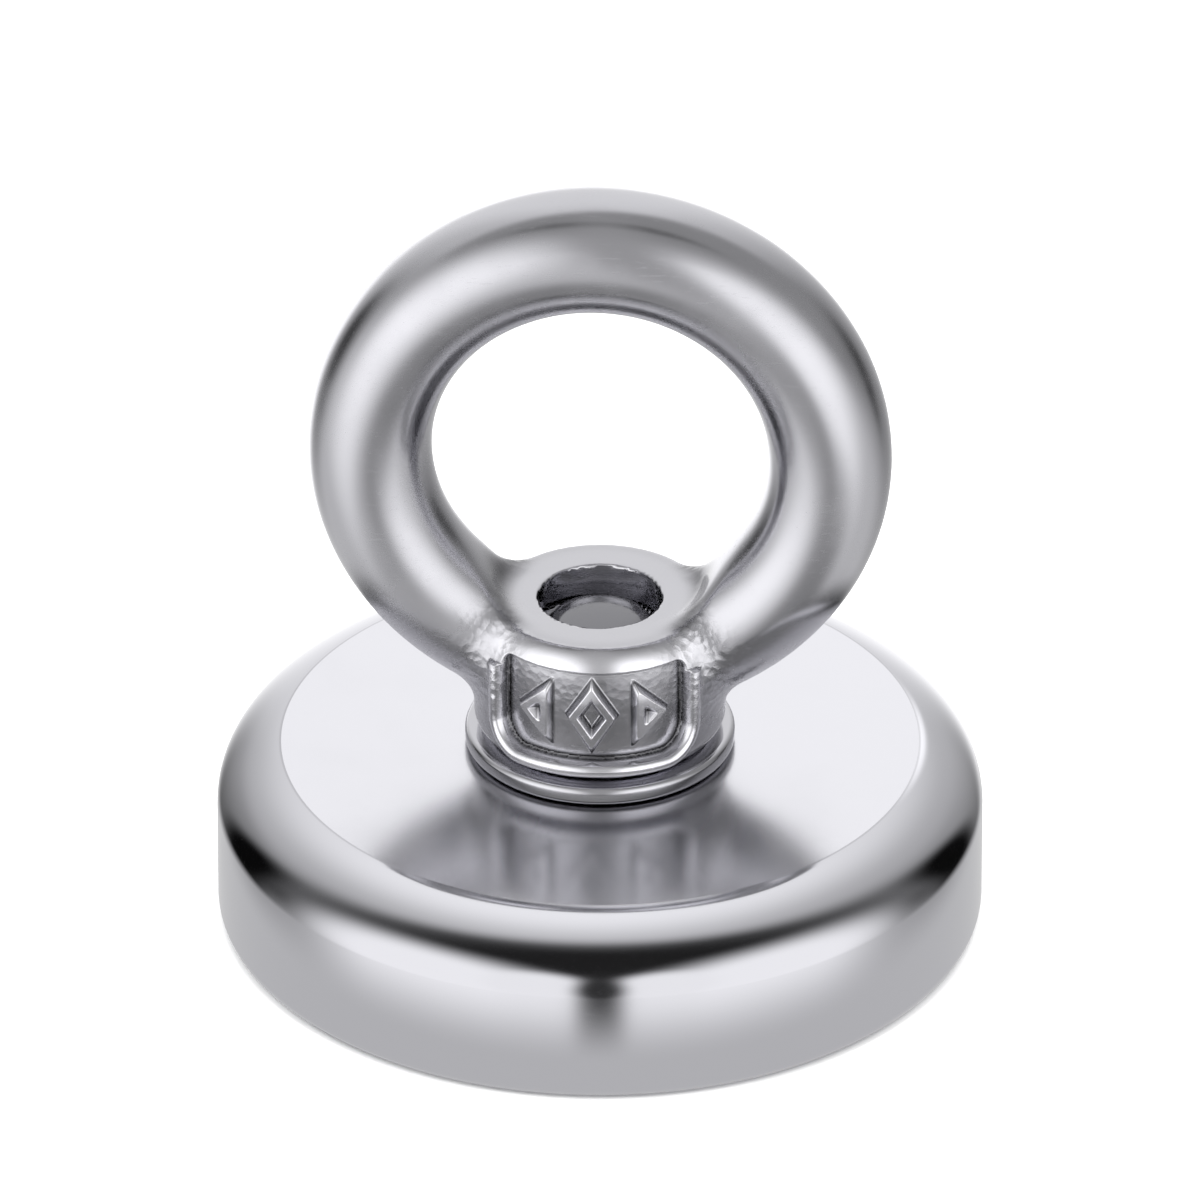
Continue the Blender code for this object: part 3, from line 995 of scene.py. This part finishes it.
def patch_group():
    """Mask of a soft-edged oval in the sky: 1 inside, 0 outside."""
    tree, source, result = group_tree(
        "soft_oval",
        [
            ("Vector", "NodeSocketVector", None),
            ("Ahead", "NodeSocketVector", None),
            ("Side", "NodeSocketVector", None),
            ("Above", "NodeSocketVector", None),
            ("Half Width", "NodeSocketFloat", 1.0),
            ("Half Height", "NodeSocketFloat", 1.0),
            ("Softness", "NodeSocketFloat", 0.5),
        ],
        [("Mask", "NodeSocketFloat")],
    )

    def along(label):
        pair = {0: source.outputs["Vector"], 1: source.outputs[label]}
        return add_node(tree, "VectorMath", pair, operation="DOT_PRODUCT").outputs["Value"]

    def length(a, b):
        squares = math_node(tree, "ADD", math_node(tree, "MULTIPLY", a, a), math_node(tree, "MULTIPLY", b, b))
        return math_node(tree, "SQRT", squares)

    side, above = along("Side"), along("Above")
    off_axis = math_node(tree, "MAXIMUM", length(side, above), 0.0001)
    turn = math_node(tree, "ARCCOSINE", math_node(tree, "MINIMUM", along("Ahead"), 0.99999))
    stretch = math_node(tree, "DIVIDE", turn, off_axis)
    x = math_node(tree, "DIVIDE", math_node(tree, "MULTIPLY", side, stretch), source.outputs["Half Width"])
    y = math_node(tree, "DIVIDE", math_node(tree, "MULTIPLY", above, stretch), source.outputs["Half Height"])
    away = length(x, y)
    inner = math_node(tree, "SUBTRACT", 1.0, source.outputs["Softness"])
    link(tree, remap(tree, away, inner, 1.0, 1.0, 0.0, "SMOOTHERSTEP"), result.inputs["Mask"])
    return tree


def sky_direction(azimuth, elevation):
    """Unit vector; azimuth 0 is the camera's side, positive towards +X, in degrees."""
    a, e = radians(azimuth), radians(elevation)
    return Vector((sin(a) * cos(e), -cos(a) * cos(e), sin(e)))


def linear(grey):
    """Light that plated steel shows as a display grey of 0 to 255."""
    return (grey / 255) ** 2.2 / METAL_REFLECTANCE


def light_material(name):
    """A material for light that only reflections see; returns it, its tree and its Object coordinates."""
    material = bpy.data.materials.new(name)
    material.use_nodes = True
    material.cycles.emission_sampling = "NONE"
    tree = material.node_tree
    tree.nodes.clear()
    return material, tree, add_node(tree, "TexCoord").outputs["Object"]


def give_light(tree, strength, cover=None):
    """Light over a clear surface: added to what lies behind it, or hiding it where cover is 1."""
    light = add_node(tree, "Emission", {"Strength": strength}).outputs[0]
    clear = add_node(tree, "BsdfTransparent").outputs[0]
    if cover is None:
        both = add_node(tree, "AddShader", {0: light, 1: clear})
    else:
        both = add_node(tree, "MixShader", {0: cover, 1: clear, 2: light})
    add_node(tree, "OutputMaterial", {"Surface": both.outputs[0]})


def tent_material(name, base_grey, ovals, group):
    """See-through light tent: a base grey with soft ovals laid over it in order.

    Each oval is (azimuth, elevation, half width, half height, tilt, softness, grey), angles in degrees.
    """
    material, tree, vector = light_material(name)
    unit = add_node(tree, "VectorMath", {0: vector}, operation="NORMALIZE").outputs["Vector"]
    level = linear(base_grey)
    for azimuth, elevation, half_width, half_height, tilt, softness, grey in ovals:
        ahead = sky_direction(azimuth, elevation)
        side = Matrix.Rotation(radians(tilt), 3, ahead) @ sky_direction(azimuth + 90, 0)
        oval = {
            "Vector": unit,
            "Ahead": ahead,
            "Side": side,
            "Above": side.cross(ahead),
            "Half Width": radians(half_width),
            "Half Height": radians(half_height),
            "Softness": softness,
        }
        mask = add_node(tree, "Group", oval, node_tree=group).outputs["Mask"]
        mix = add_node(tree, "Mix", {"Factor": mask, "A": level, "B": linear(grey)})
        level = mix.outputs["Result"]
    give_light(tree, level)
    return material


def only_in_reflections(obj, receivers):
    """Makes a stage object that lights only these pieces, and only by being reflected in them."""
    obj.visible_camera = False
    obj.visible_diffuse = False
    obj.visible_shadow = False
    obj.visible_transmission = False
    collection = bpy.data.collections.new(obj.name + "_receivers")
    for piece in receivers:
        collection.objects.link(piece)
    obj.light_linking.receiver_collection = collection


def make_tent(name, radius, base_grey, ovals, group, receivers):
    bm = bmesh.new()
    bmesh.ops.create_icosphere(bm, subdivisions=4, radius=radius)
    bmesh.ops.reverse_faces(bm, faces=bm.faces[:])
    tent = mesh_object(name, bm)
    tent.data.materials.append(tent_material(name, base_grey, ovals, group))
    only_in_reflections(tent, receivers)


# a tent is its base grey and the ovals laid over it, one after another
POT_TENT = (
    35,
    [
        # wide light above and behind
        (181, 40, 121, 100, 12, 1.0, 180),
        (186, 65, 75, 60, -5, 0.35, 162),
        (190, 66, 64, 70, 0, 1.0, 230),
        (183, -8, 34, 52, -12, 0.74, 230),
        # small lamp that the shoulder mirrors beside the neck
        (180, 31, 18, 13, 0, 0.5, 263),
        # low light on each side, then a dark edge on each side
        (-95, -45, 32, 52, -36, 0.95, 165),
        (101, -42, 29, 52, 40, 0.95, 165),
        (-117, -12, 15, 48, -39, 0.71, 16),
        (123, -10, 15, 47, 37, 0.7, 18),
        # soft boxes in front, with a dark column between them
        (-43, -18, 57, 56, 0, 0.62, 232),
        (51, -17, 56, 56, 0, 0.64, 232),
        (-13, -12, 21, 34, 0, 0.55, 228),
        (21, -12, 21, 34, 0, 0.55, 228),
        (4, -13, 11, 42, 0, 0.75, 44),
        # ground straight below
        (0, -90, 56, 56, 0, 0.3, 165),
    ],
)
EYE_TENT = (
    174,
    [
        # light behind, the lower part brighter
        (190, 24, 46, 80, 1, 0.73, 205),
        (198, -14, 41, 26, 3, 0.6, 246),
        # dim sides and a dim top, each with a darker core
        (-111, 0, 31, 54, -26, 0.97, 100),
        (113, 8, 47, 105, 39, 1.0, 105),
        (-9, 73, 104, 41, 24, 0.33, 127),
        (-112, 2, 16, 22, 0, 0.9, 60),
        (120, -2, 16, 22, 0, 0.9, 60),
        (0, 84, 46, 8, 0, 0.8, 85),
        # soft boxes in front and the gap between them
        (-43, 10, 58, 70, -15, 0.95, 246),
        (38, 8, 54, 67, 12, 1.0, 244),
        (4, 28, 24, 115, 2, 0.97, 143),
        # dim ground in front
        (10, -44, 48, 34, 9, 0.86, 120),
    ],
)


def make_floor(settings):
    """A wide pale floor, seen from above only, that the metal doesn't mirror."""
    bm = bmesh.new()
    bmesh.ops.create_circle(bm, cap_ends=True, segments=96, radius=3.0)
    bmesh.ops.translate(bm, vec=(0, 0, -0.02 * MM), verts=bm.verts[:])
    floor = mesh_object("studio_floor", bm)
    material, tree, shader, _ = new_material("pale_floor", settings.floor_colour, 0.0, 0.6)
    shader.inputs["Specular IOR Level"].default_value = 0.0
    behind = add_node(tree, "NewGeometry").outputs["Backfacing"]
    clear = add_node(tree, "BsdfTransparent").outputs[0]
    mix = add_node(tree, "MixShader", {0: behind, 1: shader.outputs[0], 2: clear})
    link(tree, mix.outputs[0], tree.nodes["Material Output"].inputs["Surface"])
    floor.data.materials.append(material)
    floor.visible_glossy = False


def flat_ring(name, inner, outer, z):
    bm = bmesh.new()
    bmesh.ops.create_circle(bm, cap_ends=False, segments=96, radius=inner)
    grown = bmesh.ops.extrude_edge_only(bm, edges=bm.edges[:])
    rim = [v for v in grown["geom"] if isinstance(v, bmesh.types.BMVert)]
    bmesh.ops.scale(bm, vec=(outer / inner, outer / inner, 1), verts=rim)
    bmesh.ops.translate(bm, vec=(0, 0, z), verts=bm.verts[:])
    bmesh.ops.recalc_face_normals(bm, faces=bm.faces[:])
    return mesh_object(name, bm)


def ground_material(near, far):
    """Pale ground that hides the dark below it, down to nothing between two distances from the axis."""
    material, tree, vector = light_material("ground_glow")
    away = add_node(tree, "VectorMath", {0: vector}, operation="LENGTH").outputs["Value"]
    strength = remap(tree, away, near, far, linear(172), linear(162))
    give_light(tree, strength, remap(tree, away, near, far, 1.0, 0.0))
    return material


def top_material(near, far):
    """Light thrown up by the pot's top, less of it further from the axis.

    It is whole from 6 mm in front of the axis and gone 3 mm in front of it.
    """
    material, tree, vector = light_material("top_glow")
    away = add_node(tree, "VectorMath", {0: vector}, operation="LENGTH").outputs["Value"]
    place = add_node(tree, "SeparateXYZ", {0: vector})
    front = remap(tree, place.outputs["Y"], -6 * MM, -3 * MM, 1.0, 0.0)
    strength = remap(tree, away, near, far, linear(165), linear(90))
    give_light(tree, math_node(tree, "MULTIPLY", strength, front))
    return material


def make_glows(pot_pieces, eye_pieces):
    """Pale ground that the pot's wall mirrors, and a pale disc that the boss mirrors."""
    radius = POT_HIGH.x
    ground = flat_ring("ground_glow", radius - 0.2 * MM, radius + 9 * MM, 0.0)
    ground.data.materials.append(ground_material(radius + 2.2 * MM, radius + 6.6 * MM))
    disc = flat_ring("top_glow", WASHER_HIGH.x + 0.2 * MM, radius - 2.2 * MM, POT_HIGH.z + 0.01 * MM)
    disc.data.materials.append(top_material(6 * MM, 10 * MM))
    for glow, receivers in ((ground, pot_pieces), (disc, eye_pieces)):
        only_in_reflections(glow, receivers)


def make_world():
    """White backdrop for the camera, even fill for matt surfaces, and nothing for mirrors to see."""
    world = bpy.data.worlds.new("studio")
    bpy.context.scene.world = world
    world.use_nodes = True
    tree = world.node_tree
    path = add_node(tree, "LightPath")
    fill = math_node(tree, "MULTIPLY", path.outputs["Is Diffuse Ray"], 0.55)
    strength = math_node(tree, "ADD", path.outputs["Is Camera Ray"], fill)
    background = tree.nodes["Background"]
    background.inputs["Color"].default_value = (1, 1, 1, 1)
    link(tree, strength, background.inputs["Strength"])


def make_softbox(name, direction, distance, size, energy):
    data = bpy.data.lights.new(name, "AREA")
    data.shape = "DISK"
    data.size = size
    data.energy = energy
    light = bpy.data.objects.new(name, data)
    light.location = direction * distance
    light.rotation_euler = direction.to_track_quat("Z", "Y").to_euler()
    bpy.context.scene.collection.objects.link(light)
    light.visible_glossy = False
    light.visible_camera = False


def make_camera(settings):
    data = bpy.data.cameras.new("studio_camera")
    data.sensor_width = 36.0
    data.lens = data.sensor_width * settings.distance / settings.frame_width
    data.clip_start = 0.01
    camera = bpy.data.objects.new("studio_camera", data)
    back = sky_direction(degrees(settings.azimuth), degrees(settings.elevation))
    camera.location = Vector((0, 0, settings.target_z)) + back * settings.distance
    camera.rotation_euler = back.to_track_quat("Z", "Y").to_euler()
    bpy.context.scene.collection.objects.link(camera)
    bpy.context.scene.camera = camera


# ---------------------------------------------------------------- operators


def shared_group(name, make):
    """A node group that several materials use, made once."""
    return bpy.data.node_groups.get(name) or make()


def finished(*nodes):
    """The finished pieces that stand for these nodes."""
    return [bpy.data.objects[node + "_finished"] for node in nodes]


class MAGNET_OT_pot_cup(bpy.types.Operator):
    """Make the turned and plated pot"""

    bl_idname = "fishing_magnet.pot_cup"
    bl_label = "Pot"

    def execute(self, context):
        settings = context.scene.magnet_pot
        polish = shared_group("polished_metal", polish_group)
        pot = turned("pot_cup_finished", pot_profile(settings), 256)
        finish_piece(pot, plated_pot(settings, polish), "nickel_plated_steel", "magnet_pot", "pot_cup")
        return {"FINISHED"}


class MAGNET_OT_magnet_and_resin(bpy.types.Operator):
    """Make the ring magnet, its resin and the film that bonds it"""

    bl_idname = "fishing_magnet.magnet_and_resin"
    bl_label = "Magnet and resin"

    def execute(self, context):
        settings = context.scene.magnet_core
        polish = shared_group("polished_metal", polish_group)
        hole_radius = context.scene.magnet_pot.hole_radius
        magnet = turned("ring_magnet_finished", magnet_profile(settings, hole_radius))
        plating = metal("nickel_plated_magnet", settings.plating, polish, (0.14, 0.3), 0.8, 0.6, wave=2e-6)
        finish_piece(magnet, plating, "nickel_plated_magnet", "magnet_pot", "ring_magnet")
        resin = turned("resin_ring_finished", resin_profile(settings))
        finish_piece(resin, potting_resin(settings.resin), "potting_resin", "magnet_pot", "resin_ring")
        film = frame["nodes"]["bond_film"]
        film.data.materials.clear()
        film.data.materials.append(cured_adhesive())
        return {"FINISHED"}


class MAGNET_OT_screw(bpy.types.Operator):
    """Make the countersunk screw with its socket and thread"""

    bl_idname = "fishing_magnet.screw"
    bl_label = "Screw"

    def execute(self, context):
        settings = context.scene.magnet_screw
        screw = screw_blank(settings)
        cut(screw, hexagon_socket(settings))
        cut(screw, thread_groove(settings))
        screw.data.set_sharp_from_angle(angle=radians(30))
        polish = shared_group("polished_metal", polish_group)
        steel = metal("stainless_screw", settings.colour, polish, (0.12, 0.26), 0.7, 0.7, wave=10e-6)
        finish_piece(screw, steel, "stainless_screw", "magnet_pot", "countersunk_screw")
        return {"FINISHED"}


class MAGNET_OT_washer(bpy.types.Operator):
    """Make the plain washer"""

    bl_idname = "fishing_magnet.washer"
    bl_label = "Washer"

    def execute(self, context):
        settings = context.scene.magnet_washer
        polish = shared_group("polished_metal", polish_group)
        washer = turned("plain_washer_finished", washer_profile(settings))
        steel = metal("stainless_washer", settings.colour, polish, (0.1, 0.2), 0.6, 0.6, wave=1e-6)
        finish_piece(washer, steel, "stainless_washer", "washer", "plain_washer")
        return {"FINISHED"}


class MAGNET_OT_eye_nut(bpy.types.Operator):
    """Make the cast eye nut"""

    bl_idname = "fishing_magnet.eye_nut"
    bl_label = "Eye nut"

    def execute(self, context):
        settings = context.scene.magnet_eye
        polish = shared_group("polished_metal", polish_group)
        casting = shared_group("casting_skin", casting_group)
        nut = make_eye_nut_mesh(settings)
        steel = cast_stainless(settings.colour, polish, casting)
        finish_piece(nut, steel, "cast_stainless", "eye", "eye_nut")
        return {"FINISHED"}


class MAGNET_OT_stage(bpy.types.Operator):
    """Make the floor, the light tent, the lamps and the camera"""

    bl_idname = "fishing_magnet.stage"
    bl_label = "Stage"

    def execute(self, context):
        settings = context.scene.magnet_studio
        make_floor(settings)
        make_world()
        group = shared_group("soft_oval", patch_group)
        pot_pieces = finished("pot_cup", "ring_magnet", "resin_ring")
        eye_pieces = finished("eye_nut", "plain_washer", "countersunk_screw")
        make_tent("pot_tent", settings.tent_radius, *POT_TENT, group, pot_pieces)
        make_tent("eye_tent", settings.tent_radius * 1.1, *EYE_TENT, group, eye_pieces)
        make_glows(pot_pieces, eye_pieces)
        for name, azimuth, elevation, size, energy in (
            ("key_softbox", -50, 55, 0.5, 3.0),
            ("fill_softbox", 50, 55, 0.5, 3.0),
            ("top_softbox", 180, 75, 0.6, 4.0),
        ):
            make_softbox(name, sky_direction(azimuth, elevation), 0.7, size, energy)
        make_camera(settings)
        context.scene.view_settings.view_transform = "Standard"
        return {"FINISHED"}


class MAGNET_PT_panel(bpy.types.Panel):
    """Buttons for each piece of the magnet"""

    bl_idname = "MAGNET_PT_panel"
    bl_label = "Fishing Magnet"
    bl_space_type = "VIEW_3D"
    bl_region_type = "UI"
    bl_category = "Fishing Magnet"

    def draw(self, context):
        for operator in OPERATORS:
            self.layout.operator(operator.bl_idname)


SETTINGS = {
    "magnet_pot": PotSettings,
    "magnet_core": MagnetSettings,
    "magnet_screw": ScrewSettings,
    "magnet_washer": WasherSettings,
    "magnet_eye": EyeNutSettings,
    "magnet_studio": StudioSettings,
}
OPERATORS = (
    MAGNET_OT_pot_cup,
    MAGNET_OT_magnet_and_resin,
    MAGNET_OT_screw,
    MAGNET_OT_washer,
    MAGNET_OT_eye_nut,
    MAGNET_OT_stage,
)


def register():
    for group in (*SETTINGS.values(), *OPERATORS, MAGNET_PT_panel):
        bpy.utils.register_class(group)
    for name, group in SETTINGS.items():
        setattr(bpy.types.Scene, name, PointerProperty(type=group))


def unregister():
    for name in SETTINGS:
        delattr(bpy.types.Scene, name)
    for group in (MAGNET_PT_panel, *reversed(OPERATORS), *SETTINGS.values()):
        bpy.utils.unregister_class(group)


def main():
    for obj in list(bpy.data.objects):
        if obj.name in ("Cube", "Light", "Camera"):
            bpy.data.objects.remove(obj)
    register()
    bpy.ops.fishing_magnet.pot_cup()
    bpy.ops.fishing_magnet.magnet_and_resin()
    bpy.ops.fishing_magnet.screw()
    bpy.ops.fishing_magnet.washer()
    bpy.ops.fishing_magnet.eye_nut()
    bpy.ops.fishing_magnet.stage()


if __name__ == "__main__":
    main()
